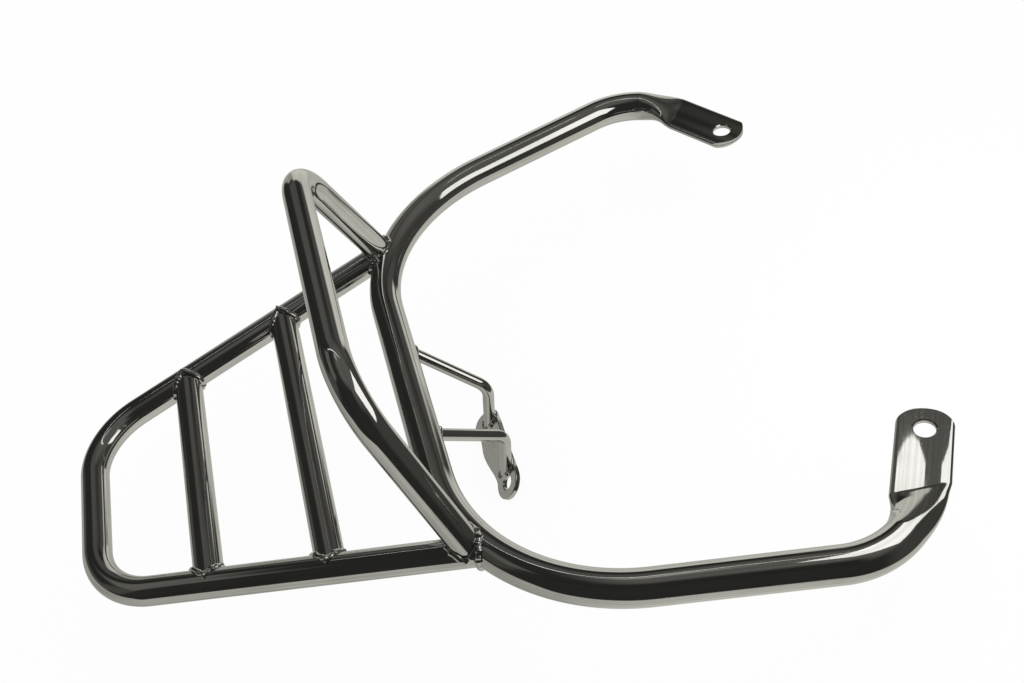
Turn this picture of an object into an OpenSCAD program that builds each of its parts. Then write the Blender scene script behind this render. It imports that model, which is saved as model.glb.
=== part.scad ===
// Motorcycle luggage rack: bent and welded steel tube, millimetres.
// X points to the front of the motorcycle, Y to its left side, Z up.
// The origin is on the axis of the main hoop, in the middle of its cross section at the seat end of the tray.

/* [Tubes] */
// Outer diameter of the main hoop's tube
main_d = 19; // [17:0.5:23]
// Outer diameter of the tray's tubes
tray_d = 16; // [13:0.5:18]
// Outer diameter of the raised hoop's tube
rail_d = 16; // [13:0.5:18]
// Wall thickness of every tube
wall = 1.5; // [1:0.1:2]
// Diameter of the two round bars of the stay
stay_d = 7; // [5:0.5:9]
// Thickness of a weld bead beside the tube it closes
bead = 2.2; // [1.5:0.1:3]

/* [Tray] */
// Distance from the main hoop's cross section to the rear bar
tray_l = 191; // [150:1:240]
// Width between the tube axes at the rear corners, before they are rounded
tray_rear_w = 118; // [100:1:150]
// Width between the side rails' axes at the main hoop
tray_front_w = 240; // [200:1:280]
// Bend radius of the rear corners, on the tube's axis
tray_corner_r = 42; // [30:1:48]
// Distance from the main hoop's cross section to the first cross bar
bar_1_x = 129; // [105:1:140]
// Distance from the main hoop's cross section to the second cross bar
bar_2_x = 64; // [50:1:80]

/* [Main hoop] */
// Width between the inner corners, before they are rounded
inner_w = 308; // [260:1:350]
// Bend radius of the inner corners, on the tube's axis
inner_r = 110; // [80:1:120]
// Distance from the cross section to the outer corners
outer_x = 200; // [160:1:240]
// Width between the outer corners, before they are rounded
outer_w = 408; // [350:1:460]
// Bend radius of the outer corners, on the tube's axis
outer_r = 44; // [36:1:48]
// Distance from the cross section to the bolt holes
hole_x = 238; // [200:1:270]
// Width between the bolt holes
hole_w = 276; // [240:1:310]
// Slope of the hoop's arms below the tray, in degrees
dip = 5.5; // [0:0.5:6]
// Distance ahead of the cross section where the hoop's plane crosses the tray's plane
dip_x = 8; // [4:1:12]

/* [Bolt tabs] */
// Width of the flattened tube end
tab_w = 29; // [26:0.5:32]
// Thickness of the flattened tube end
tab_t = 4; // [3:0.5:5]
// Distance from the bolt hole to the start of the flat
tab_flat_l = 34; // [24:1:36]
// Length over which the tube goes from round to flat
taper_l = 9; // [6:1:12]
// Diameter of the bolt hole
tab_hole_d = 11; // [8:0.5:13]

/* [Raised hoop] */
// Width between the feet
foot_w = 244; // [220:1:260]
// Distance of the feet ahead of the cross section
foot_x = 7; // [0:1:12]
// Width between the top corners, before they are rounded
top_w = 184; // [150:1:210]
// Distance of the top bar behind the cross section
top_x = 16; // [0:1:60]
// Height of the top bar's axis above the tray's axis
top_z = 105; // [70:1:140]
// Bend radius of the top corners, on the tube's axis
top_r = 38; // [26:1:45]

/* [Stay] */
// Distance between the bars where they leave the main hoop
root_w = 73; // [50:1:90]
// Distance between the bars at their bend
knee_w = 41; // [32:1:48]
// Distance of the bend ahead of the cross section
knee_x = 39; // [30:1:50]
// Drop of the bend below the cross section
knee_z = 42; // [30:1:55]
// Bend radius of the bars, on their axis
knee_r = 12; // [8:1:14]
// Length of the lower legs, from the bend's corner to the plate
leg_l = 29; // [24:1:36]
// Angle of the lower legs from level, in degrees
leg_tilt = 75; // [65:1:85]

/* [Bracket] */
// Thickness of the bracket plate
plate_t = 3; // [2.5:0.5:5]
// Angle of the plate from level, in degrees
plate_tilt = 45; // [35:1:50]
// Distance from the legs' ends down the plate to the line of the bolt hole
plate_drop = 3; // [0:1:5]
// Distance of the bolt hole to the right of the middle
plate_hole_y = 28; // [26:1:40]
// Radius of the rounded lug around the bolt hole
lug_r = 10; // [9:0.5:13]
// Diameter of the bracket's bolt hole
plate_hole_d = 8.5; // [6:0.5:10]
// Reach of the plate on the left side of the middle
plate_left = 31; // [29:1:40]
// Depth of the plate's lower edge in the middle, below the line of the bolt hole
belly = 13; // [11:0.5:16]

/* [Hidden] */
$fn = 48;
steel = "gainsboro";
// Reach of a cutting solid past the face that it cuts
slack = 1;
// The straight lengths are this much thinner than the bends and reach this far into them,
// so that a bent tube joins in clean edges
seam_step = 0.25;
seam_reach = 0.3;

function unit(v) = v / norm(v);
function side(p, s) = [p.x, p.y * s, p.z];
// Point on the main hoop's plane, which dips towards the front
function on_hoop(x, y) = [x, y, (dip_x - x) * tan(dip)];
// Half the tray's width at a distance behind the main hoop's cross section
function rail_y(x) = tray_front_w / 2 - (tray_front_w - tray_rear_w) / 2 * x / tray_l;

// The hoop's direction from its outer corner through the bolt hole
outer_corner = on_hoop(outer_x, outer_w / 2);
hole_point = on_hoop(hole_x, hole_w / 2);
tab_dir = unit(hole_point - outer_corner);
flat_start = hole_point - tab_dir * tab_flat_l;
taper_start = flat_start - tab_dir * taper_l;
hoop_up = [sin(dip), 0, cos(dip)];
hoop_path = [taper_start, outer_corner, on_hoop(0, inner_w / 2),
    on_hoop(0, -inner_w / 2), side(outer_corner, -1), side(taper_start, -1)];

// The side rails end on the hoop's axis, in its inner bends
rail_slope = (tray_front_w - tray_rear_w) / 2 / tray_l;
bend_y = inner_w / 2 - bend_cut(on_hoop(0, 0), on_hoop(0, inner_w / 2), outer_corner, inner_r);
meet_gap = tray_front_w / 2 - bend_y;
meet_run = inner_r - rail_slope * meet_gap;
meet_x = (meet_run - sqrt(meet_run ^ 2 - (1 + rail_slope ^ 2) * meet_gap ^ 2)) / (1 + rail_slope ^ 2);
meet = [meet_x, rail_y(-meet_x), 0];
meet_along = cross([0, 0, 1], unit([meet_x - inner_r, meet.y - bend_y, 0]));
rail_dir = unit([1, rail_slope, 0]);
tray_path = [meet, [-tray_l, tray_rear_w / 2, 0], [-tray_l, -tray_rear_w / 2, 0], side(meet, -1)];
rail_path = [[foot_x, foot_w / 2, 0], [-top_x, top_w / 2, top_z],
    [-top_x, -top_w / 2, top_z], [foot_x, -foot_w / 2, 0]];

knee = [knee_x, knee_w / 2, -knee_z];
leg_dir = [-cos(leg_tilt), 0, -sin(leg_tilt)];
// Outward direction of the plate's face that carries the bars
plate_up = [-sin(plate_tilt), 0, cos(plate_tilt)];
leg_end = knee + leg_dir * leg_l;
// The legs run on past the plate's face and are cut off along it
leg_spare = stay_d / 2 / tan(leg_tilt - plate_tilt) + slack;
stay_path = [on_hoop(0, root_w / 2), knee, leg_end + leg_dir * leg_spare];

// Places Z along a line from one point towards another
module aim(from, to) {
    v = to - from;
    translate(from) rotate([0, acos(v.z / norm(v)), atan2(v.y, v.x)]) children();
}

// Round bar between two points
module straight(from, to, d) {
    aim(from, to) cylinder(d = d, h = norm(to - from));
}

// Length that a bend takes from each of the two lines at a corner
function bend_cut(a, b, c, r) = r * tan((180 - turn_at(a, b, c)) / 2);
function turn_at(a, b, c) = acos(unit(a - b) * unit(c - b));

// Bend of a tube at corner b, between the lines to a and to c
module bend(a, b, c, r, d) {
    cut = bend_cut(a, b, c, r);
    start = b + unit(a - b) * cut;
    way = unit(b - a);
    middle = b + unit(unit(a - b) + unit(c - b)) * norm([cut, r]);
    u = (start - middle) / r;
    w = cross(u, way);
    multmatrix([[u.x, way.x, w.x, middle.x], [u.y, way.y, w.y, middle.y], [u.z, way.z, w.z, middle.z]])
        rotate_extrude(angle = 180 - turn_at(a, b, c), $fn = 240) translate([r, 0]) rotate(90) circle(d = d, $fn = 48);
}

// Bent bar along corner points, with one bend radius for each inner corner
module bent_bar(p, radii, d) {
    last = len(p) - 1;
    for (i = [0 : last - 1]) {
        from_cut = i == 0 ? 0 : bend_cut(p[i - 1], p[i], p[i + 1], radii[i - 1]);
        to_cut = i == last - 1 ? 0 : bend_cut(p[i], p[i + 1], p[i + 2], radii[i]);
        way = unit(p[i + 1] - p[i]);
        from = p[i] + way * (from_cut - (i == 0 ? 0 : seam_reach));
        to = p[i + 1] - way * (to_cut - (i == last - 1 ? 0 : seam_reach));
        straight(from, to, d - seam_step);
    }
    for (i = [1 : last - 1]) bend(p[i - 1], p[i], p[i + 1], radii[i - 1], d);
}

// Main hoop

module hoop_shape(d = main_d) {
    bent_bar(hoop_path, [outer_r, inner_r, inner_r, outer_r], d);
}

// Outline of the flattened tube: the width and thickness change together from round to flat.
// It starts just outside the tube's surface and ends just inside the flat's.
function taper_ring(t, n) = let (
        blend = (1 - cos(180 * t)) / 2,
        tube = (main_d + seam_step) / cos(180 / n),
        w = tube + (tab_w - seam_step - tube) * blend,
        h = tube + (tab_t - seam_step - tube) * blend)
    [for (i = [0 : n - 1]) let (a = 360 * i / n,
        spread = (w - h) / 2 * sign(round(cos(a) * 1e6)) * min(1, abs(cos(a)) * 3))
        [spread + h / 2 * cos(a), h / 2 * sin(a), t * (taper_l + 2 * seam_reach) - seam_reach]];

// Skin over a stack of outlines that all have the same number of points
module skin(rings) {
    n = len(rings[0]);
    m = len(rings);
    points = [for (r = rings) each r];
    sides = [for (j = [0 : m - 2], i = [0 : n - 1]) let (k = (i + 1) % n)
        each [[j * n + i, (j + 1) * n + i, (j + 1) * n + k], [j * n + i, (j + 1) * n + k, j * n + k]]];
    polyhedron(points, concat([[for (i = [0 : n - 1]) i]], sides, [[for (i = [n - 1 : -1 : 0]) (m - 1) * n + i]]));
}

// Flattened end of the hoop's left side, with its rounded tip and bolt hole
module tab() {
    across = cross(hoop_up, tab_dir);
    multmatrix([[across.x, hoop_up.x, tab_dir.x, taper_start.x],
                [across.y, hoop_up.y, tab_dir.y, taper_start.y],
                [across.z, hoop_up.z, tab_dir.z, taper_start.z]])
        difference() {
            union() {
                skin([for (j = [0 : 6]) taper_ring(j / 6, 32)]);
                translate([0, 0, taper_l]) linear_extrude(tab_flat_l) tab_section();
                translate([0, 0, taper_l + tab_flat_l]) rotate([90, 0, 0]) tab_tip();
            }
            translate([0, 0, taper_l + tab_flat_l]) rotate([90, 0, 0])
                cylinder(d = tab_hole_d, h = tab_t + 2 * slack, center = true);
        }
}

// Section of the flat: two walls pressed together, with rounded edges
module tab_section() {
    square([tab_w - tab_t, tab_t], center = true);
    for (s = [-1, 1]) translate([s * (tab_w - tab_t) / 2, 0]) circle(d = tab_t);
}

module tab_tip() {
    rotate_extrude(angle = 180) intersection() {
        tab_section();
        translate([0, -tab_t]) square([tab_w, 2 * tab_t]);
    }
}

module main_hoop() {
    color(steel) {
        difference() {
            hoop_shape();
            hoop_shape(main_d - 2 * wall);
        }
        tab();
        mirror([0, 1, 0]) tab();
    }
}

// Tray

module tray_shape(d = tray_d) {
    bent_bar(tray_path, [tray_corner_r, tray_corner_r], d);
}

module tray_loop() {
    color(steel) difference() {
        tray_shape();
        tray_shape(tray_d - 2 * wall);
        hoop_shape();
    }
}

module cross_bar(x) {
    color(steel) difference() {
        straight([-x, -rail_y(x), 0], [-x, rail_y(x), 0], tray_d);
        straight([-x, -rail_y(x), 0], [-x, rail_y(x), 0], tray_d - 2 * wall);
        tray_shape();
    }
}

// Raised hoop

module rail_shape(d = rail_d) {
    bent_bar(rail_path, [top_r, top_r], d);
}

module raised_hoop() {
    color(steel) difference() {
        rail_shape();
        rail_shape(rail_d - 2 * wall);
        tray_shape();
        hoop_shape();
    }
}

// Stay and bracket

module stay_shape() {
    bent_bar(stay_path, [knee_r], stay_d);
}

module stay_bar_left() {
    color(steel) difference() {
        stay_shape();
        hoop_shape();
        behind_plate();
    }
}

// Puts the drawing plane on the plate's carrying face: x runs to the right side, y up along the plate
module on_plate() {
    down = [-cos(plate_tilt), 0, -sin(plate_tilt)];
    centre = [leg_end.x, 0, leg_end.z] + down * plate_drop;
    multmatrix([[0, -down.x, plate_up.x, centre.x],
                [-1, -down.y, plate_up.y, centre.y],
                [0, -down.z, plate_up.z, centre.z]])
        children();
}

// Everything on the far side of the plate's carrying face
module behind_plate() {
    reach = 2 * (plate_left + plate_hole_y);
    on_plate() translate([-reach / 2, -reach / 2, -reach]) cube(reach);
}

module bracket_plate() {
    corner_r = 5;
    left = corner_r - plate_left;
    color(steel) on_plate() translate([0, 0, -plate_t]) linear_extrude(plate_t) difference() {
        union() {
            translate([plate_hole_y, 0]) circle(r = lug_r);
            translate([left, lug_r - 1.5 * corner_r]) circle(r = corner_r);
            translate([left, corner_r - belly]) circle(r = corner_r);
            polygon([[plate_hole_y, -lug_r], [plate_hole_y, lug_r], [-plate_left / 2, lug_r],
                [left, lug_r - corner_r / 2], [-plate_left, lug_r - 1.5 * corner_r], [-plate_left, corner_r - belly],
                [left, -belly], [left * 0.7, -belly + 3], [-plate_left / 3, -belly], [plate_hole_y / 4, -belly + 0.5]]);
        }
        translate([plate_hole_y, 0]) circle(d = plate_hole_d);
    }
}

// Welds

// Height along a branch at which a line on its surface comes out of a run, a round bar [point, direction, diameter]
function rise_on(p, b, run) = let (
        a = unit(run[1]),
        q = (p - run[0]) - ((p - run[0]) * a) * a,
        n = b - (b * a) * a,
        h = (q * n) ^ 2 - n * n * (q * q - run[2] ^ 2 / 4))
    (sqrt(max(0, h)) - q * n) / (n * n);

// Height along a branch at which a line on its surface meets a flat face through a point
function rise_to(p, b, point, face) = (point - p) * face / (b * face);

// Weld bead around the foot of a round branch, where it stands on one or more runs or on a flat face
module bead_ring(base, branch, d, runs, face = undef, r = bead) {
    b = unit(branch);
    e1 = unit(cross(b, abs(b.z) > 0.7 ? [1, 0, 0] : [0, 0, 1]));
    e2 = cross(b, e1);
    steps = 32;
    around = 8;
    points = [for (i = [0 : steps - 1]) let (f = 360 * (i + 0.5) / steps,
            out = cos(f) * e1 + sin(f) * e2,
            foot = base + out * d / 2,
            rise = is_undef(face) ? max([for (run = runs) rise_on(foot, b, run)]) : rise_to(foot, b, base, face))
        each [for (k = [0 : around - 1]) let (g = 360 * (k + 0.5) / around)
            foot + out * r * cos(g) + b * (rise + r * sin(g))]];
    faces = [for (i = [0 : steps - 1], k = [0 : around - 1]) let (
            i2 = (i + 1) % steps, k2 = (k + 1) % around,
            p = i * around + k, q = i2 * around + k, t = i2 * around + k2, v = i * around + k2)
        each [[p, t, q], [p, v, t]]];
    polyhedron(points, faces);
}

module weld_bar(x) {
    end = [-x, rail_y(x), 0];
    color(steel) difference() {
        bead_ring(end, [0, -1, 0], tray_d, [[end, rail_dir, tray_d]]);
        straight([-x, 0, 0], end, tray_d);
        tray_shape();
    }
}

module weld_rail() {
    color(steel) difference() {
        rail_bead();
        tray_shape();
        hoop_shape();
        rail_shape();
    }
}

module rail_bead() {
    bead_ring(meet, -rail_dir, tray_d, [[on_hoop(meet.x, meet.y), meet_along, main_d]]);
}

module weld_foot() {
    color(steel) difference() {
        bead_ring(rail_path[0], rail_path[1] - rail_path[0], rail_d,
            [[meet, rail_dir, tray_d], [on_hoop(meet.x, meet.y), meet_along, main_d]]);
        rail_shape();
        tray_shape();
        hoop_shape();
        rail_bead();
    }
}

module weld_stay() {
    root = stay_path[0];
    color(steel) difference() {
        bead_ring(root, knee - root, stay_d, [[root, [0, 1, 0], main_d]]);
        stay_shape();
        hoop_shape();
    }
}

module weld_bracket() {
    color(steel) difference() {
        bead_ring(leg_end, -leg_dir, stay_d, [], plate_up, bead * 0.8);
        stay_shape();
        behind_plate();
    }
}

main_hoop();
tray_loop();
cross_bar(bar_1_x);  // rear_cross_bar
cross_bar(bar_2_x);  // front_cross_bar
raised_hoop();
stay_bar_left();
mirror([0, 1, 0]) stay_bar_left();  // stay_bar_right
bracket_plate();
weld_bar(bar_1_x);  // weld_rear_bar_left
mirror([0, 1, 0]) weld_bar(bar_1_x);  // weld_rear_bar_right
weld_bar(bar_2_x);  // weld_front_bar_left
mirror([0, 1, 0]) weld_bar(bar_2_x);  // weld_front_bar_right
weld_rail();  // weld_rail_left
mirror([0, 1, 0]) weld_rail();  // weld_rail_right
weld_foot();  // weld_foot_left
mirror([0, 1, 0]) weld_foot();  // weld_foot_right
weld_stay();  // weld_stay_left
mirror([0, 1, 0]) weld_stay();  // weld_stay_right
weld_bracket();  // weld_bracket_left
mirror([0, 1, 0]) weld_bracket();  // weld_bracket_right
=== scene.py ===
import math
import bmesh
import bpy
from mathutils import Matrix, Vector, noise


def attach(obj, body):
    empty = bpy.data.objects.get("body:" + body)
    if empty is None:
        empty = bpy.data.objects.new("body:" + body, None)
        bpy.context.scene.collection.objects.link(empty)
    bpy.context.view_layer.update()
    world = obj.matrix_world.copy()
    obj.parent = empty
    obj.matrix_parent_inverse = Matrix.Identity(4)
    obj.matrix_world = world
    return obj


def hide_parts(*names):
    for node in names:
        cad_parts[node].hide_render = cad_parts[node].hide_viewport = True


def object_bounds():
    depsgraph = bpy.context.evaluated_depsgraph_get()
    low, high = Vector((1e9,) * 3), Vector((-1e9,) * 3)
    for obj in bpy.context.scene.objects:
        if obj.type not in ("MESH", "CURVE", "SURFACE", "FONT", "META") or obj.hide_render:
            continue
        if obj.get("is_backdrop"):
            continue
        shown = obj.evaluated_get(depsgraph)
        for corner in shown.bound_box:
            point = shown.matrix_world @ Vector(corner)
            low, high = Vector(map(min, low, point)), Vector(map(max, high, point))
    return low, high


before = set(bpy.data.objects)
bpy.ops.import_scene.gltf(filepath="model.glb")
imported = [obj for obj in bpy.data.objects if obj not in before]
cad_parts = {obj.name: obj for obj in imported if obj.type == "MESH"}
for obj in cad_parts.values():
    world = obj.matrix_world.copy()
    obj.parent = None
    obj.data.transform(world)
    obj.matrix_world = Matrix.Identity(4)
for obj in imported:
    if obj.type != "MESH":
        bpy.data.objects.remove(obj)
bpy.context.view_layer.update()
scene = bpy.context.scene
scene.view_settings.view_transform = "Standard"
mm = 0.001


# Node trees written as Python

class Wire:
    # a node's output socket that takes +, - and *
    def __init__(self, nodes, socket):
        self.nodes = nodes
        self.socket = socket

    def out(self, name):
        # another output of the same node
        return Wire(self.nodes, self.socket.node.outputs[name])

    def math(self, operation, first, second):
        return self.nodes.add("ShaderNodeMath", {"operation": operation}, {0: first, 1: second})

    def __add__(self, value):
        return self.math("ADD", self, value)

    def __radd__(self, value):
        return self.math("ADD", value, self)

    def __sub__(self, value):
        return self.math("SUBTRACT", self, value)

    def __rsub__(self, value):
        return self.math("SUBTRACT", value, self)

    def __mul__(self, value):
        return self.math("MULTIPLY", self, value)

    def __rmul__(self, value):
        return self.math("MULTIPLY", value, self)


class Nodes:
    def __init__(self, tree):
        self.tree = tree

    def add(self, kind, settings=None, inputs=None, output=0):
        # settings first, because some of them change the sockets; a list puts several links in one socket
        node = self.tree.nodes.new(kind)
        for key, value in (settings or {}).items():
            setattr(node, key, value)
        for key, value in (inputs or {}).items():
            for given in value if isinstance(value, list) else [value]:
                if isinstance(given, Wire):
                    self.tree.links.new(given.socket, node.inputs[key])
                else:
                    node.inputs[key].default_value = given
        return Wire(self, node.outputs[output]) if len(node.outputs) else None


class Shader(Nodes):
    def __init__(self, owner):
        owner.use_nodes = True
        owner.node_tree.nodes.clear()
        super().__init__(owner.node_tree)

    def grain(self, where, scale, detail, rough=0.5):
        return self.add("ShaderNodeTexNoise", {}, {
            "Vector": where, "Scale": scale, "Detail": detail, "Roughness": rough})

    def ramp(self, value, low, high):
        return self.add("ShaderNodeMapRange", {"interpolation_type": "SMOOTHSTEP"}, {
            "Value": value, "From Min": low, "From Max": high})

    def stretch(self, where, x, y, z):
        return self.add("ShaderNodeMapping", {}, {"Vector": where, "Scale": (x, y, z)})

    def tint(self, factor, first, second):
        # inputs 6 and 7 and output 2 are the Mix node's colours
        return self.add("ShaderNodeMix", {"data_type": "RGBA"}, {0: factor, 6: first, 7: second}, 2)


# Chrome finishes; heights are in metres

chromeLook = {
    "bright": (0.60, 0.60, 0.592, 1),
    "deep": (0.46, 0.462, 0.45, 1),
    "polished": 0.035,   # roughness of clean chrome
    "hazy": 0.085,
    "hazeGrain": (26.0, 3.0, 0.55),   # scale, detail, roughness of the noise
    "hazeRange": (0.42, 0.68),
    "hazeShare": 0.35,   # how much haze darkens the colour
    "streaks": (5.0, 420.0, 1.5),   # scale along and across a tube, detail
    "streakRange": (0.36, 0.64),
    "streakShare": 0.6,
    "streakHeight": 0.000012,
    "lines": (30.0, 2600.0, 2.0),   # the finest polishing lines
    "lineRough": 0.012,
    "lineHeight": 0.0000012,
    "peelScale": 55.0,
    "peelGrain": (1.5, 0.45),   # detail, roughness
    "peelHeight": 0.000012,
    "swell": (14.0, 60.0, 0.0),
    "plateSwell": (30.0, 0.0),
    "swellTimesPeel": 3.0,   # its height
    "speckGrain": (1500.0, 1.0),
    "speckRange": (0.71, 0.76),
    "speckRough": 0.16,
    "speckHeight": 0.000004,
}


def chromeFinish(name, look, followsTube):
    # a tube's streaks run along its UV map; a plate or a bead has them by its place
    material = bpy.data.materials.new(name)
    s = Shader(material)
    place = s.add("ShaderNodeTexCoord", output="Object")
    path = s.add("ShaderNodeUVMap", {"uv_map": "UVMap"}) if followsTube else place

    def drawnOut(key):
        along, across, detail = look[key]
        return s.grain(s.stretch(path, along, across, 1 if followsTube else across), 1.0, detail)

    haze = s.ramp(s.grain(place, *look["hazeGrain"]), *look["hazeRange"])
    specks = s.ramp(s.grain(place, *look["speckGrain"]), *look["speckRange"])
    lines = drawnOut("lines")
    streaks = drawnOut("streaks")
    swell = drawnOut("swell") if followsTube else s.grain(place, *look["plateSwell"])
    peel = s.grain(place, look["peelScale"], *look["peelGrain"])
    dulled = haze * look["hazeShare"] + s.ramp(streaks, *look["streakRange"]) * look["streakShare"]
    colour = s.tint(dulled, look["bright"], look["deep"])
    rough = look["polished"] + haze * (look["hazy"] - look["polished"])
    rough = rough + specks * look["speckRough"] + lines * look["lineRough"]
    height = peel * look["peelHeight"] + lines * look["lineHeight"]
    height = height + swell * (look["peelHeight"] * look["swellTimesPeel"])
    height = height + specks * look["speckHeight"] + streaks * look["streakHeight"]
    bump = s.add("ShaderNodeBump", {}, {"Strength": 1.0, "Distance": 1.0, "Height": height})
    surface = s.add("ShaderNodeBsdfPrincipled", {}, {
        "Base Color": colour, "Metallic": 1.0, "Roughness": rough, "Normal": bump})
    s.add("ShaderNodeOutputMaterial", {}, {"Surface": surface})
    return material


tubeChrome = chromeFinish("tubeChrome", chromeLook, True)
barChrome = chromeFinish("barChrome", chromeLook | {
    "polished": 0.06, "hazy": 0.13, "bright": (0.57, 0.57, 0.56, 1)}, True)
plateChrome = chromeFinish("plateChrome", chromeLook | {
    "polished": 0.09, "hazy": 0.19, "peelHeight": 0.00026, "peelScale": 48.0,
    "bright": (0.55, 0.55, 0.54, 1)}, False)
weldChrome = chromeFinish("weldChrome", chromeLook | {
    "polished": 0.08, "hazy": 0.22, "peelScale": 300.0,
    "bright": (0.57, 0.57, 0.56, 1), "deep": (0.46, 0.46, 0.45, 1)}, False)
print("finishes made")


# Tubes, in millimetres and degrees

rack = {
    "mainDiameter": 19.0,
    "trayDiameter": 16.0,
    "railDiameter": 16.0,   # the raised hoop
    "stayDiameter": 7.0,
    "hoopX": (200.0, 238.0),   # outer corners, bolt holes
    "hoopWidth": (308.0, 408.0, 276.0),   # inner corners, outer corners, bolt holes
    "hoopRadii": (44.0, 110.0, 110.0, 44.0),
    "dip": 5.5,
    "dipX": 8.0,   # where the dipping hoop goes through the tray's plane
    "trayLength": 191.0,
    "trayWidth": (118.0, 240.0),   # rear, front
    "trayRadius": 42.0,
    "barsAt": (129.0, 64.0),
    "footX": 7.0,
    "footWidth": 244.0,
    "topWidth": 184.0,
    "topX": 16.0,
    "topHeight": 105.0,
    "topRadius": 38.0,
    "around": 72,   # points in a ring
    "steps": (2.0, 7.0),   # between rings, in bends and on straight lengths
    "leastBend": 6,   # steps in the shortest bend
    "sharpAngle": 38.0,
}
upright = Vector((0, 0, 1))
toLeft = Vector((0, 1, 0))


def onHoop(x, y):
    return Vector((x, y, (rack["dipX"] - x) * math.tan(math.radians(rack["dip"]))))


def mirrored(p):
    return Vector((p.x, -p.y, p.z))


hoopUp = Vector((math.sin(math.radians(rack["dip"])), 0, math.cos(math.radians(rack["dip"]))))
hoopInner = onHoop(0, rack["hoopWidth"][0] / 2)
hoopOuter = onHoop(rack["hoopX"][0], rack["hoopWidth"][1] / 2)
boltHole = onHoop(rack["hoopX"][1], rack["hoopWidth"][2] / 2)


def straightPoints(a, b, step):
    count = max(1, round((b - a).length / step))
    return [a.lerp(b, i / count) for i in range(count + 1)]


def bentPath(corners, radii, steps):
    # points, tangents and running length along straight lengths and round bends
    bendStep, straightStep = steps
    points = [corners[0]]
    for before, corner, after, radius in zip(corners, corners[1:], corners[2:], radii):
        u, v = (before - corner).normalized(), (after - corner).normalized()
        turn = math.pi - u.angle(v)
        cut = radius * math.tan(turn / 2)
        middle = corner + (u + v).normalized() * math.hypot(cut, radius)
        arm = corner + u * cut - middle
        axis = arm.cross(corner + v * cut - middle).normalized()
        count = max(rack["leastBend"], round(turn * radius / bendStep))
        bend = [middle + Matrix.Rotation(turn * j / count, 3, axis) @ arm for j in range(count + 1)]
        points += straightPoints(points[-1], bend[0], straightStep)[1:-1] + bend
    points += straightPoints(points[-1], corners[-1], straightStep)[1:]
    tangents = []
    for before, after in zip([points[0]] + points, points[1:] + [points[-1]]):
        tangents.append((after - before).normalized())
    lengths = [0.0]
    for a, b in zip(points, points[1:]):
        lengths.append(lengths[-1] + (b - a).length)
    return points, tangents, lengths


def ringAround(point, tangent, normal, radius, count):
    side = normal.cross(tangent).normalized()
    up = tangent.cross(side)
    angles = [2 * math.pi * i / count for i in range(count)]
    return [point + (side * math.cos(a) + up * math.sin(a)) * radius for a in angles]


def endFaces(base, around, folded):
    # one flat cap, or for a folded end the lower points joined to the upper ones across from them
    if not folded:
        return [[base + i for i in range(around)]]
    faces = []
    for i in range(around // 2):
        quad = [base + i, base + i + 1, base + (around - i - 1) % around, base + (around - i) % around]
        faces.append(list(dict.fromkeys(quad)))   # the first and the last are triangles
    return faces


def skinTube(name, rings, lengths, folded=False):
    # rings of points in millimetres become one closed smooth mesh in metres, with u along and v around
    around = len(rings[0])
    faces = []
    for j in range(len(rings) - 1):
        here, there = j * around, (j + 1) * around
        for i in range(around):
            following = (i + 1) % around
            faces.append((here + i, here + following, there + following, there + i))
    sideCount = len(faces)
    faces += [face[::-1] for face in endFaces(0, around, folded)]
    faces += endFaces((len(rings) - 1) * around, around, folded)
    mesh = bpy.data.meshes.new(name)
    mesh.from_pydata([p * mm for ring in rings for p in ring], [], faces)
    layer = mesh.uv_layers.new(name="UVMap")
    girth = math.pi * (rings[0][0] - rings[0][around // 2]).length * mm
    corner = 0
    for index, face in enumerate(faces):
        closesRing = index < sideCount and face[1] % around == 0
        for k, vertex in enumerate(face):
            j, i = divmod(vertex, around)
            turned = around if closesRing and k in (1, 2) else i
            layer.data[corner].uv = (lengths[j] * mm, turned / around * girth)
            corner += 1
    obj = bpy.data.objects.new(name, mesh)
    scene.collection.objects.link(obj)
    faceOutwards(mesh)
    smoothShade(mesh, rack["sharpAngle"])
    return obj


def faceOutwards(mesh, mergeWithin=0):
    bm = bmesh.new()
    bm.from_mesh(mesh)
    if mergeWithin:
        bmesh.ops.remove_doubles(bm, verts=bm.verts, dist=mergeWithin)
    bmesh.ops.recalc_face_normals(bm, faces=bm.faces)
    bm.to_mesh(mesh)
    bm.free()


def smoothShade(mesh, angle):
    mesh.polygons.foreach_set("use_smooth", [True] * len(mesh.polygons))
    mesh.set_sharp_from_angle(angle=math.radians(angle))


def applied(obj):
    # the evaluated object as a plain mesh
    bpy.context.view_layer.update()
    mesh = bpy.data.meshes.new_from_object(obj.evaluated_get(bpy.context.evaluated_depsgraph_get()))
    obj.modifiers.clear()
    return mesh


def finishPiece(obj, finish, node):
    obj.data.materials.clear()
    obj.data.materials.append(finish)
    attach(obj, "root")
    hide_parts(node)


def roundTube(name, node, corners, radii, normal, diameter, finish=tubeChrome,
              around=rack["around"], steps=rack["steps"], endCut=None):
    points, tangents, lengths = bentPath(corners, radii, steps)
    rings = [ringAround(p, t, normal, diameter / 2, around) for p, t in zip(points, tangents)]
    if endCut:   # the last ring slides along the bar onto a plane
        point, face = endCut
        way = tangents[-1]
        rings[-1] = [p + way * ((point - p).dot(face) / way.dot(face)) for p in rings[-1]]
    finishPiece(skinTube(name, rings, lengths), finish, node)


# Main hoop with its flattened ends; places are measured from the bolt hole, towards the tip

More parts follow.
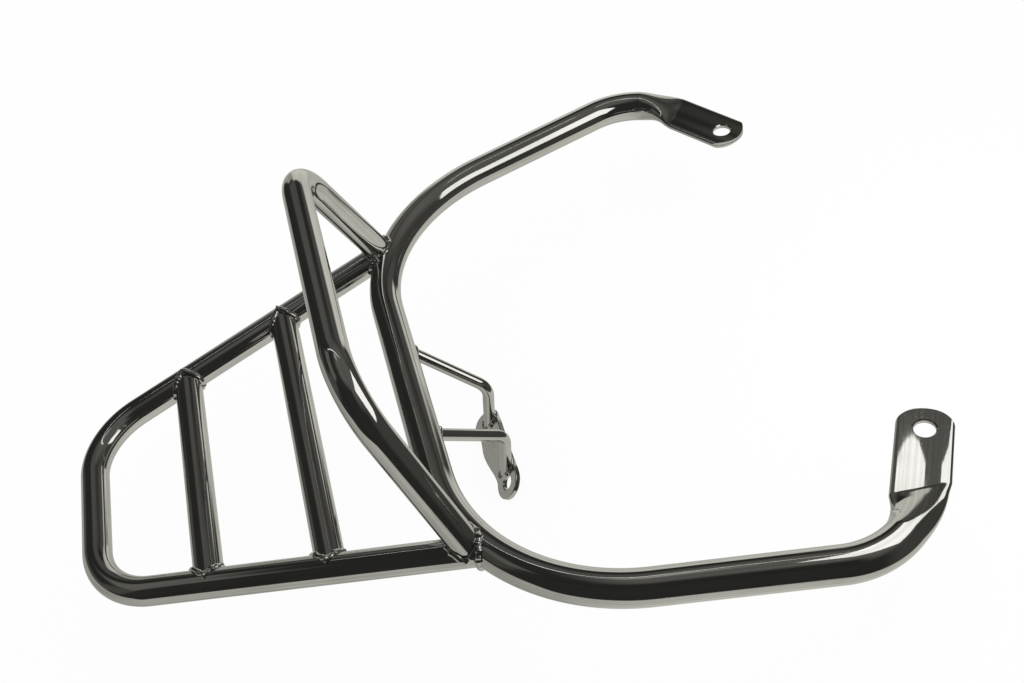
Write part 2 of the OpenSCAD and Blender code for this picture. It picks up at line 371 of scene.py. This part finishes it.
tab = {
    "width": 28.6,
    "thickness": 4.0,
    "dish": 0.32,   # share by which the pressed part is thinner in the middle
    "ridge": 0.84,   # where the hollow ends, as a share of the half width
    "pressStart": -66.0,
    "crease": -38.0,
    "pressPower": 1.3,   # above 1 the round tube flattens slowly at first
    "creaseSlant": 0.38,   # how far the crease runs back for each millimetre across
    "slantIn": (-80.0, -58.0),   # where the slant begins and is full
    "slantOut": (-26.0, -8.0),   # where it weakens and ends
    "tipStart": -20.0,   # from here the rings bend over to the tip's arc
    "tipRadius": 15.4,
    "tipCentre": -2.2,
    "tipFold": ((0.80, 0.0), (0.16, 0.05), (0.10, 0.55)),   # share of the thickness, depth
    "holeDiameter": 11.0,
    "holeChamfer": 0.45,
    "holeAround": 64,
    "cutterPast": 1.5,   # how far the hole's cutter stands out of the faces
    "around": 96,
    "steps": (1.6, 6.0),
    "pressedStep": 0.9,
}


def tipAt(x):
    return tab["tipCentre"] + math.sqrt(tab["tipRadius"] ** 2 - min(abs(x), tab["width"] / 2) ** 2)


def share(value, low, high):
    return min(1, max(0, (value - low) / (high - low)))


def flatPoint(i, count):
    # point of the flat section, in its first quarter: a round edge, then a face with a hollow
    half, depth = tab["width"] / 2, tab["thickness"] / 2
    straight = half - depth
    edgeArc = math.pi * depth / 2
    quarters = (i * 4 / count) % 2
    run = min(quarters, 2 - quarters) * (edgeArc + straight)
    if run < edgeArc:
        x, z = straight + depth * math.cos(run / depth), depth * math.sin(run / depth)
    else:
        x, z = straight - (run - edgeArc), depth
    hollow = (1 + math.cos(math.pi * min(1, x / half / tab["ridge"]))) / 2
    return x, z * (1 - tab["dish"] * hollow)


def pressedPoint(i, count, press):
    # point of the section on its way from round (press 0) to flat (press 1)
    angle = 2 * math.pi * i / count
    radius = rack["mainDiameter"] / 2
    roundX, roundZ = radius * math.cos(angle), radius * math.sin(angle)
    x, z = flatPoint(i, count)
    x, z = math.copysign(x, roundX), math.copysign(z, roundZ)
    return roundX + (x - roundX) * press, roundZ + (z - roundZ) * press


def pressedRing(point, tangent, past, toTip):
    # past is the ring's place from the bolt hole, and toTip is 1 or -1, the tip's way along the path
    side = hoopUp.cross(tangent).normalized()
    press = share(past, tab["pressStart"], tab["crease"]) ** tab["pressPower"]
    slant = share(past, *tab["slantIn"]) * (1 - share(past, *tab["slantOut"]))
    fromTipStart = past - tab["tipStart"]
    fullLength = tipAt(0) - tab["tipStart"]
    ring = []
    for i in range(tab["around"]):
        x, z = pressedPoint(i, tab["around"], press)
        shift = -tab["creaseSlant"] * x * toTip * slant
        if fromTipStart > 0:
            shift += fromTipStart / fullLength * (tipAt(x) - tab["tipStart"]) - fromTipStart
        ring.append(point + side * x + hoopUp * z + tangent * toTip * shift)
    return ring


def closerStations(stations, total, near):
    # more places for rings near both ends, where the tube is pressed
    closer = []
    for (p, t, l), (p2, t2, l2) in zip(stations, stations[1:]):
        closer.append((p, t, l))
        if min(l, total - l2) < near:
            count = max(1, round((l2 - l) / tab["pressedStep"]))
            for part in (k / count for k in range(1, count)):
                closer.append((p.lerp(p2, part), t.lerp(t2, part).normalized(), l + (l2 - l) * part))
    closer.append(stations[-1])
    return closer


def tipFold(ring, centre, inwards):
    # rings that show, at the sheared tip, the fold between the two pressed walls
    folds = []
    for kept, sink in tab["tipFold"]:
        folds.append([p - hoopUp * ((p - centre).dot(hoopUp) * (1 - kept)) + inwards * sink for p in ring])
    return folds


def mainHoop():
    reach = tipAt(0)
    tip = boltHole + (boltHole - hoopOuter).normalized() * reach
    corners = [tip, hoopOuter, hoopInner, mirrored(hoopInner), mirrored(hoopOuter), mirrored(tip)]
    points, tangents, lengths = bentPath(corners, rack["hoopRadii"], tab["steps"])
    total = lengths[-1]
    stations = closerStations(list(zip(points, tangents, lengths)), total, reach - tab["pressStart"])
    rings = []
    for point, tangent, length in stations:
        past = reach - min(length, total - length)
        rings.append(pressedRing(point, tangent, past, -1 if length < total / 2 else 1))
    leftFold = tipFold(rings[0], stations[0][0], stations[0][1])
    rightFold = tipFold(rings[-1], stations[-1][0], -stations[-1][1])
    rings = leftFold[::-1] + rings + rightFold
    lengths = [0.0] * len(leftFold) + [length for _, _, length in stations] + [total] * len(rightFold)
    hoop = skinTube("mainHoop", rings, lengths, folded=True)
    cutter = bpy.data.objects.new("holeCutter", holeMesh([boltHole, mirrored(boltHole)], hoopUp))
    scene.collection.objects.link(cutter)
    drill = hoop.modifiers.new("holes", "BOOLEAN")
    drill.object = cutter
    drill.operation = "DIFFERENCE"
    drill.solver = "EXACT"
    hoop.data = applied(hoop)
    bpy.data.objects.remove(cutter)
    smoothShade(hoop.data, rack["sharpAngle"])
    finishPiece(hoop, tubeChrome, "main_hoop")


def holeMesh(centres, axis):
    # a lathed cutter for each hole: straight in the middle, flared at the two faces
    radius, flare, past = tab["holeDiameter"] / 2, tab["holeChamfer"], tab["cutterPast"]
    depth = tab["thickness"] / 2 * (1 - tab["dish"])
    profile = [(radius + flare + past, depth + past), (radius + flare, depth), (radius, depth - flare)]
    profile += [(r, -z) for r, z in profile[::-1]]
    steps = tab["holeAround"]
    bm = bmesh.new()
    for centre in centres:
        rows = []
        for r, z in profile:
            ring = ringAround(centre + axis * z, axis, -toLeft, r, steps)
            rows.append([bm.verts.new(p * mm) for p in ring])
        for low, high in zip(rows, rows[1:]):
            for k in range(steps):
                bm.faces.new((low[k], low[(k + 1) % steps], high[(k + 1) % steps], high[k]))
        bm.faces.new(rows[0])
        bm.faces.new(rows[-1])
    bmesh.ops.recalc_face_normals(bm, faces=bm.faces)
    mesh = bpy.data.meshes.new("holeCutter")
    bm.to_mesh(mesh)
    bm.free()
    return mesh


mainHoop()
print("main hoop made")


# Tray and raised hoop

def railSlope():
    rear, front = rack["trayWidth"]
    return (front - rear) / 2 / rack["trayLength"]


def railPoint(back):
    # on the left side rail's axis, so far behind the origin
    return Vector((-back, rack["trayWidth"][1] / 2 - railSlope() * back, 0))


def railMeetsHoop():
    # where a side rail's axis runs into the hoop's axis, in the inner bend, and which way is outwards there
    u = (onHoop(0, 0) - hoopInner).normalized()
    v = (hoopOuter - hoopInner).normalized()
    radius = rack["hoopRadii"][1]
    bendY = hoopInner.y - radius * math.tan((math.pi - u.angle(v)) / 2)
    gap = rack["trayWidth"][1] / 2 - bendY
    run = radius - railSlope() * gap
    stretch = 1 + railSlope() ** 2
    x = (run - math.sqrt(run ** 2 - stretch * gap ** 2)) / stretch
    point = railPoint(-x)
    return point, (point - Vector((radius, bendY, 0))).normalized()


meet, meetOut = railMeetsHoop()
foot = Vector((rack["footX"], rack["footWidth"] / 2, 0))
top = Vector((-rack["topX"], rack["topWidth"] / 2, rack["topHeight"]))


def trayLoop():
    corner = Vector((-rack["trayLength"], rack["trayWidth"][0] / 2, 0))
    roundTube("trayLoop", "tray_loop", [meet, corner, mirrored(corner), mirrored(meet)],
              [rack["trayRadius"]] * 2, upright, rack["trayDiameter"])


def crossBars():
    rearAt, frontAt = rack["barsAt"]
    for name, node, back in (("rearCrossBar", "rear_cross_bar", rearAt),
                             ("frontCrossBar", "front_cross_bar", frontAt)):
        end = railPoint(back)
        roundTube(name, node, [mirrored(end), end], [], upright, rack["trayDiameter"])


def raisedHoop():
    normal = (top - foot).cross(toLeft).normalized()
    roundTube("raisedHoop", "raised_hoop", [foot, top, mirrored(top), mirrored(foot)],
              [rack["topRadius"]] * 2, normal, rack["railDiameter"])


trayLoop()
crossBars()
raisedHoop()
print("tray and raised hoop made")


# Stay and bracket

stay = {
    "rootWidth": 73.0,
    "knee": (39.0, 41.0, -42.0),   # x, width, z
    "kneeRadius": 12.0,
    "legLength": 29.0,
    "legTilt": 75.0,
    "legSink": 0.6,   # how deep the legs' ends go into the plate
    "around": 40,
    "steps": (1.0, 3.0),
}
plate = {
    "tilt": 45.0,
    "thickness": 3.0,
    "edgeRound": 0.5,
    "edgeSteps": 3,
    "holeDiameter": 8.5,
    # the outline in its own plane: y to the left side, and height along the plate from the legs' ends
    "hole": (-28.0, -3.0),
    "lugRadius": 10.0,
    "lugArc": (100, 280),
    "arcStep": 15,
    "lower": ((-21.5, -11.4), (-16.4, -11.7), (-7.7, -13.8), (0, -15.2),
              (6.6, -15.6), (12.7, -14.4), (18.0, -13.6)),
    "lobe": ((23.0, -15.2), (27.6, -15.4), (30.8, -12.0), (31.2, -7.0), (29.6, -1.5), (27.4, 3.4)),
    "upper": ((24.5, 5.9), (19.0, 6.8), (8.0, 7.0), (-6.0, 7.0), (-18.0, 6.9)),
    "curveSteps": 6,
    "mergeWithin": 0.01,
    "sharpAngle": 50.0,
}
legTilt, plateTilt = math.radians(stay["legTilt"]), math.radians(plate["tilt"])
legWay = Vector((-math.cos(legTilt), 0, -math.sin(legTilt)))
plateUp = Vector((-math.sin(plateTilt), 0, math.cos(plateTilt)))   # out of the plate's upper face
plateAlong = Vector((math.cos(plateTilt), 0, math.sin(plateTilt)))
knee = Vector((stay["knee"][0], stay["knee"][1] / 2, stay["knee"][2]))
legEnd = knee + legWay * stay["legLength"]
stayRoot = onHoop(0, stay["rootWidth"] / 2)


def stayBars():
    for name, node, turn in (("stayBarLeft", "stay_bar_left", Vector),
                             ("stayBarRight", "stay_bar_right", mirrored)):
        root, bend, end = turn(stayRoot), turn(knee), turn(legEnd)
        normal = (bend - root).cross(end - bend).normalized()
        roundTube(name, node, [root, bend, end], [stay["kneeRadius"]], normal, rack["stayDiameter"],
                  finish=barChrome, around=stay["around"], steps=stay["steps"],
                  endCut=(end - plateUp * stay["legSink"], plateUp))


def arcPoints(radius, start, end):
    # on a circle around the plate's hole
    angles = [math.radians(degrees) for degrees in range(start, end, plate["arcStep"])]
    y, height = plate["hole"]
    return [(y + radius * math.cos(a), height + radius * math.sin(a)) for a in angles]


def addOutline(curve, ring, grow):
    # a closed curve through the points, each moved away from their middle by grow
    spline = curve.splines.new("BEZIER")
    spline.bezier_points.add(len(ring) - 1)
    middle = Vector((sum(y for y, height in ring), sum(height for y, height in ring))) / len(ring)
    for bezier, point in zip(spline.bezier_points, ring):
        moved = Vector(point) + (Vector(point) - middle).normalized() * grow
        bezier.co = (moved.x * mm, moved.y * mm, 0)
        bezier.handle_left_type = bezier.handle_right_type = "AUTO"
    spline.use_cyclic_u = True


def bracketPlate():
    curve = bpy.data.curves.new("bracketPlate", "CURVE")
    curve.dimensions = "2D"
    curve.fill_mode = "BOTH"
    curve.extrude = (plate["thickness"] / 2 - plate["edgeRound"]) * mm
    curve.bevel_depth = plate["edgeRound"] * mm
    curve.bevel_resolution = plate["edgeSteps"]
    curve.resolution_u = plate["curveSteps"]
    start, end = plate["lugArc"]
    outline = arcPoints(plate["lugRadius"], start, end + 1)   # the near end is a round lug
    outline += plate["lower"] + plate["lobe"] + plate["upper"]
    addOutline(curve, outline, -plate["edgeRound"])   # the bevel grows back what this takes away
    addOutline(curve, arcPoints(plate["holeDiameter"] / 2, 0, 360), plate["edgeRound"])
    flat = bpy.data.objects.new("plateCurve", curve)
    scene.collection.objects.link(flat)
    mesh = applied(flat)
    bpy.data.objects.remove(flat)
    faceOutwards(mesh, plate["mergeWithin"] * mm)
    # the curve's X runs along +Y, its Y up along the plate, its Z out of the plate's back
    middle = Vector((legEnd.x, 0, legEnd.z)) - plateUp * (plate["thickness"] / 2)
    turn = Matrix((toLeft, plateAlong, -plateUp)).transposed().to_4x4()
    mesh.transform(Matrix.Translation(middle * mm) @ turn)
    obj = bpy.data.objects.new("bracketPlate", mesh)
    scene.collection.objects.link(obj)
    smoothShade(mesh, plate["sharpAngle"])
    even = obj.modifiers.new("even", "WEIGHTED_NORMAL")
    even.keep_sharp = True
    obj.data = applied(obj)
    finishPiece(obj, plateChrome, "bracket_plate")


stayBars()
bracketPlate()
print("stay and bracket made")


# Weld beads

weld = {
    "bead": 2.2,   # radius of the bead, millimetres
    "shares": {"rear_bar": 1.0, "front_bar": 1.0, "rail": 1.0, "foot": 1.05, "stay": 0.85, "bracket": 0.8},
    "ripple": 2.9,   # distance between two ripples
    "rippleDepth": 0.10,   # share by which the core is thinner than the bead
    "rippleSizes": (0.86, 1.22),
    "rippleFlat": 0.5,   # a ripple's thickness along the line, as a share of its height
    "rippleRounding": 3,   # subdivisions of the ball it is made from
    "wander": 0.42,
    "outset": 0.10,   # of the line from the joint, as a share of the bead's radius
    "sink": 0.05,
    "linePoints": 96,
    "coreAround": 12,
    "voxel": 0.45,
    "smoothing": 18,
    "firstSeed": 3,
    "seedStep": 5,
}


def weldTree():
    # a core along the joint's line, with overlapping lens-shaped ripples
    group = bpy.data.node_groups.new("weldBead", "GeometryNodeTree")
    identifiers = {}
    for name, kind in (("Geometry", "NodeSocketGeometry"), ("Bead Radius", "NodeSocketFloat"),
                       ("Ripple Spacing", "NodeSocketFloat"), ("Ripple Depth", "NodeSocketFloat"),
                       ("Wander", "NodeSocketFloat"), ("Seed", "NodeSocketInt"),
                       ("Finish", "NodeSocketMaterial")):
        socket = group.interface.new_socket(name=name, in_out="INPUT", socket_type=kind)
        identifiers[name] = socket.identifier
    group.interface.new_socket(name="Geometry", in_out="OUTPUT", socket_type="NodeSocketGeometry")
    n = Nodes(group)
    given = n.add("NodeGroupInput")
    line = n.add("GeometryNodeMeshToCurve", {}, {0: given.out("Geometry")})
    even = n.add("GeometryNodeResampleCurve", {"mode": "LENGTH"}, {
        "Curve": line, "Length": given.out("Ripple Spacing")})
    drift = n.add("FunctionNodeRandomValue", {"data_type": "FLOAT_VECTOR"}, {
        0: (-1, -1, -1), 1: (1, 1, 1), "Seed": given.out("Seed")})
    push = n.add("ShaderNodeVectorMath", {"operation": "SCALE"}, {0: drift, "Scale": given.out("Wander")})
    loose = n.add("GeometryNodeSetPosition", {}, {"Geometry": even, "Offset": push})
    spots = n.add("GeometryNodeCurveToPoints", {"mode": "EVALUATED"}, {"Curve": loose})
    ball = n.add("GeometryNodeMeshIcoSphere", {}, {
        "Radius": 1.0, "Subdivisions": weld["rippleRounding"]})
    lens = n.add("GeometryNodeTransform", {}, {"Geometry": ball, "Scale": (1.0, 1.0, weld["rippleFlat"])})
    least, most = weld["rippleSizes"]
    size = n.add("FunctionNodeRandomValue", {"data_type": "FLOAT"}, {
        2: least, 3: most, "Seed": given.out("Seed")}, 1)
    ripples = n.add("GeometryNodeInstanceOnPoints", {}, {
        "Points": spots, "Instance": lens, "Rotation": spots.out("Rotation"),
        "Scale": size * given.out("Bead Radius")})
    ring = n.add("GeometryNodeCurvePrimitiveCircle", {}, {
        "Resolution": weld["coreAround"],
        "Radius": (1.0 - given.out("Ripple Depth")) * given.out("Bead Radius")})
    core = n.add("GeometryNodeCurveToMesh", {}, {"Curve": loose, "Profile Curve": ring})
    both = n.add("GeometryNodeJoinGeometry", {}, {0: [core, ripples]})
    real = n.add("GeometryNodeRealizeInstances", {}, {"Geometry": both})
    done = n.add("GeometryNodeSetMaterial", {}, {"Geometry": real, "Material": given.out("Finish")})
    n.add("NodeGroupOutput", {}, {0: done})
    return group, identifiers


beadTree, beadSockets = weldTree()


def climbOut(p, way, run):
    # how far a point goes along way until it leaves a round run of tube
    point, axis, diameter = run
    axis = axis.normalized()
    q = (p - point) - axis * (p - point).dot(axis)
    n = way - axis * way.dot(axis)
    inside = q.dot(n) ** 2 - n.dot(n) * (q.dot(q) - diameter ** 2 / 4)
    return (math.sqrt(max(0, inside)) - q.dot(n)) / n.dot(n)


def jointLine(base, branch, diameter, runs, face=None):
    # the line around a round branch's foot where it comes out of the runs, or of a flat face
    way = branch.normalized()
    isSteep = abs(way.z) > 0.7
    across = way.cross(Vector((1, 0, 0)) if isSteep else upright).normalized()
    beside = way.cross(across)
    line = []
    for k in range(weld["linePoints"]):
        angle = 2 * math.pi * k / weld["linePoints"]
        out = across * math.cos(angle) + beside * math.sin(angle)
        p = base + out * (diameter / 2)
        if face:
            rise = (base - p).dot(face) / way.dot(face)
        else:
            rise = max([0.0] + [climbOut(p, way, run) for run in runs])
        line.append(p + out * (weld["bead"] * weld["outset"]) + way * (rise - weld["bead"] * weld["sink"]))
    return line


def weldBead(name, node, line, seed, size):
    mesh = bpy.data.meshes.new(name)
    mesh.from_pydata([p * mm for p in line], [(k, (k + 1) % len(line)) for k in range(len(line))], [])
    obj = bpy.data.objects.new(name, mesh)
    scene.collection.objects.link(obj)
    bead = obj.modifiers.new("bead", "NODES")
    bead.node_group = beadTree
    for key, value in (("Bead Radius", weld["bead"] * size * mm),
                       ("Ripple Spacing", weld["ripple"] * size * mm),
                       ("Ripple Depth", weld["rippleDepth"]),
                       ("Wander", weld["wander"] * size * mm),
                       ("Seed", seed), ("Finish", weldChrome)):
        bead[beadSockets[key]] = value
    blend = obj.modifiers.new("blend", "REMESH")
    blend.mode = "VOXEL"
    blend.voxel_size = weld["voxel"] * mm
    blend.use_smooth_shade = True
    soften = obj.modifiers.new("soften", "SMOOTH")
    soften.iterations = weld["smoothing"]
    obj.data = applied(obj)
    finishPiece(obj, weldChrome, node)


def allWelds():
    main, tray, thin = rack["mainDiameter"], rack["trayDiameter"], rack["stayDiameter"]
    railWay = Vector((1, railSlope(), 0)).normalized()
    rail = (meet, railWay, tray)
    hoop = (onHoop(meet.x, meet.y), upright.cross(meetOut), main)
    crossSection = (stayRoot, toLeft, main)
    rearEnd, frontEnd = (railPoint(back) for back in rack["barsAt"])
    lines = {
        "rear_bar": jointLine(rearEnd, -toLeft, tray, [(rearEnd, railWay, tray)]),
        "front_bar": jointLine(frontEnd, -toLeft, tray, [(frontEnd, railWay, tray)]),
        "rail": jointLine(meet, -railWay, tray, [hoop]),
        "foot": jointLine(foot, top - foot, rack["railDiameter"], [rail, hoop]),
        "stay": jointLine(stayRoot, knee - stayRoot, thin, [crossSection]),
        "bracket": jointLine(legEnd, -legWay, thin, [], plateUp),
    }
    seed = weld["firstSeed"]
    for joint, line in lines.items():
        for side, turn in (("left", Vector), ("right", mirrored)):
            label = joint.title().replace("_", "") + side.title()
            points = [turn(p) for p in line]
            weldBead(f"weld{label}", f"weld_{joint}_{side}", points, seed, weld["shares"][joint])
            seed += weld["seedStep"]


allWelds()
print("weld beads made")


# Studio, in metres and degrees

camera = {
    "place": (0.0708, -0.5212, 0.5133),
    "azimuth": 0.87,
    "elevation": 44.23,
    "roll": -22.23,
    "lens": 45.77,
    "sensorWidth": 36.0,
    "clip": (0.01, 50.0),
}


def placeCamera():
    az, el, roll = (math.radians(camera[key]) for key in ("azimuth", "elevation", "roll"))
    back = Vector((math.sin(az) * math.cos(el), -math.cos(az) * math.cos(el), math.sin(el)))
    right = (-back).cross(upright).normalized()
    up = right.cross(-back)
    rolledRight = right * math.cos(roll) + up * math.sin(roll)
    rolledUp = up * math.cos(roll) - right * math.sin(roll)
    data = bpy.data.cameras.new("camera")
    data.sensor_fit = "HORIZONTAL"
    data.sensor_width = camera["sensorWidth"]
    data.lens = camera["lens"]
    data.clip_start, data.clip_end = camera["clip"]
    obj = bpy.data.objects.new("camera", data)
    spin = Matrix((rolledRight, rolledUp, back)).transposed()
    obj.matrix_world = Matrix.Translation(camera["place"]) @ spin.to_4x4()
    scene.collection.objects.link(obj)
    scene.camera = obj


# what the chrome mirrors: a shell with patches of light and a table
room = {
    "tableTilt": 16.3,
    "radius": 2.6,
    "segments": (240, 120),
    "dark": 0.031,
    "tint": (1.0, 0.98, 0.89),
    "table": 0.60,
    "tableSwing": 0.16,
    "tableBrightAt": -30.0,
    "mottle": 0.08,
    "mottleScale": 2.2,
    "horizon": -16.0,
    "horizonSwing": 5.0,
    "horizonLowAt": -80.0,
    "horizonSoft": 2.5,
    "rearRise": 6.0,   # of the horizon, past rearFrom on both sides
    "rearFrom": 146.0,
    "rearSoft": 14.0,
    # azimuth, half width, elevation, half height, level, soft edge, all but the level in degrees
    "patches": {
        "sideWall": (-5, 52, 20, 42, 0.070, 24),
        "ceiling": (0, 180, 90, 20, 0.15, 18),
        "frontCeiling": (15, 92, 90, 43, 0.145, 24),
        "nearStrip": (108, 14, 71, 5, 0.40, 5),
        "shelf": (165, 24, 37, 9, 0.16, 7),
        "column": (182, 12, 12, 14, 0.085, 7),
        "farWall": (104, 14, 44, 22, 0.115, 9),
        "backWall": (70, 26, 2, 21, 0.80, 4),
        "backWallEnd": (104, 8, 0, 16, 0.42, 5),
        "wallTop": (52, 18, 30, 9, 0.10, 7),
        "doorway": (160, 22, -6, 12, 0.10, 8),
    },
}


def edge(value, limit, soft):
    # 1 well below the limit, 0 well above it
    t = min(1, max(0, (limit - value) / soft + 0.5))
    return t * t * (3 - 2 * t)


def swing(az, towards):
    return math.cos(math.radians(az - towards))


def roomLevel(direction):
    # brightness of the studio seen from the rack along a direction, in the table's own frame
    az = math.degrees(math.atan2(direction.y, direction.x))
    el = math.degrees(math.asin(max(-1, min(1, direction.z))))
    level = room["dark"]
    for patchAz, halfWidth, patchEl, halfHeight, glow, soft in room["patches"].values():
        turn = abs((az - patchAz + 180) % 360 - 180)
        level += (glow - level) * edge(turn, halfWidth, soft) * edge(abs(el - patchEl), halfHeight, soft)
    horizon = room["horizon"] - room["horizonSwing"] * swing(az, room["horizonLowAt"])
    horizon += room["rearRise"] * edge(-abs(az), -room["rearFrom"], room["rearSoft"])
    shade = room["table"] + room["tableSwing"] * swing(az, room["tableBrightAt"])
    shade *= 1 + room["mottle"] * noise.noise(direction * room["mottleScale"])
    level += (shade - level) * edge(el, horizon, room["horizonSoft"])
    return [level * c for c in room["tint"]]


def buildRoom():
    bm = bmesh.new()
    around, upwards = room["segments"]
    bmesh.ops.create_uvsphere(bm, u_segments=around, v_segments=upwards, radius=room["radius"])
    glow = bm.verts.layers.float_color.new("glow")
    for vertex in bm.verts:
        vertex[glow] = (*roomLevel(vertex.co.normalized()), 1)
    bm.transform(Matrix.Rotation(math.radians(room["tableTilt"]), 4, "Y"))
    mesh = bpy.data.meshes.new("studioRoom")
    bm.to_mesh(mesh)
    bm.free()
    obj = bpy.data.objects.new("studioRoom", mesh)
    scene.collection.objects.link(obj)
    obj.visible_camera = obj.visible_diffuse = obj.visible_transmission = obj.visible_shadow = False
    material = bpy.data.materials.new("studioGlow")
    s = Shader(material)
    colour = s.add("ShaderNodeAttribute", {"attribute_name": "glow"}, output="Color")
    shine = s.add("ShaderNodeEmission", {}, {"Color": colour, "Strength": 1.0})
    s.add("ShaderNodeOutputMaterial", {}, {"Surface": shine})
    mesh.materials.append(material)
    obj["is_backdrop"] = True


lamps = {
    "softboxNear": {
        "place": (0.352, -0.112, 0.208),
        "aim": (0.16, -0.03, 0.0),
        "turn": -14,   # about the line to its aim
        "size": (0.28, 0.25),
        "radiance": 1.45,
        "colour": (1.0, 0.985, 0.95),
    },
    "overheadStrip": {
        "place": (0.15, 0.60, 1.30),
        "aim": (0.0, 0.0, 0.0),
        "turn": 0,
        "size": (1.20, 0.035),
        "radiance": 1.30,
        "colour": (1.0, 1.0, 1.0),
    },
}


def hangLamps():
    for name, lamp in lamps.items():
        width, height = lamp["size"]
        data = bpy.data.lights.new(name, "AREA")
        data.shape = "RECTANGLE"
        data.size = width
        data.size_y = height
        data.color = lamp["colour"]
        data.energy = lamp["radiance"] * math.pi * width * height
        obj = bpy.data.objects.new(name, data)
        facing = (Vector(lamp["place"]) - Vector(lamp["aim"])).to_track_quat("Z", "Y").to_matrix().to_4x4()
        turn = Matrix.Rotation(math.radians(lamp["turn"]), 4, "Z")
        obj.matrix_world = Matrix.Translation(lamp["place"]) @ facing @ turn
        obj.visible_camera = False
        scene.collection.objects.link(obj)


stage = {
    "sky": (0.93, 0.96, 1, 1),
    "skyStrength": 0.95,
    "floor": (0.93, 0.93, 0.925, 1),
    "floorSeen": 0.93,   # how much of the floor is shown as plain white; the rest keeps the shadow
    "floorHalf": 6.0,
    "floorGap": 0.0002,
    "white": (1, 1, 1, 1),
}


def whiteSeen(s):
    # 1 for what the camera, a mirror or glass shows of the surroundings
    byCamera, byMirror, byGlass = (
        s.add("ShaderNodeLightPath", output=kind)
        for kind in ("Is Camera Ray", "Is Glossy Ray", "Is Transmission Ray"))
    return s.add("ShaderNodeMath", {"operation": "ADD", "use_clamp": True}, {
        0: byCamera + byMirror, 1: byGlass})


def buildSky():
    world = bpy.data.worlds.new("studio")
    scene.world = world
    s = Shader(world)
    soft = s.add("ShaderNodeBackground", {}, {"Color": stage["sky"], "Strength": stage["skyStrength"]})
    white = s.add("ShaderNodeBackground", {}, {"Color": stage["white"], "Strength": 1.0})
    shown = s.add("ShaderNodeMixShader", {}, {0: whiteSeen(s), 1: soft, 2: white})
    s.add("ShaderNodeOutputWorld", {}, {"Surface": shown})


def buildFloor(lowest):
    mesh = bpy.data.meshes.new("floor")
    half = stage["floorHalf"]
    corners = [(x * half, y * half, lowest) for x, y in ((-1, -1), (1, -1), (1, 1), (-1, 1))]
    mesh.from_pydata(corners, [], [(0, 1, 2, 3)])
    floor = bpy.data.objects.new("floor", mesh)
    scene.collection.objects.link(floor)
    floor.visible_glossy = False   # the rack mirrors the studio's grey table instead
    material = bpy.data.materials.new("paleFloor")
    s = Shader(material)
    matt = s.add("ShaderNodeBsdfDiffuse", {}, {"Color": stage["floor"]})
    lit = s.add("ShaderNodeEmission", {}, {"Color": stage["white"], "Strength": 1.0})
    shown = s.add("ShaderNodeMixShader", {}, {0: whiteSeen(s) * stage["floorSeen"], 1: matt, 2: lit})
    s.add("ShaderNodeOutputMaterial", {}, {"Surface": shown})
    mesh.materials.append(material)
    floor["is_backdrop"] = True


placeCamera()
buildRoom()
hangLamps()
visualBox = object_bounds()
buildSky()
buildFloor(visualBox[0][2] - stage["floorGap"])
print("studio made")
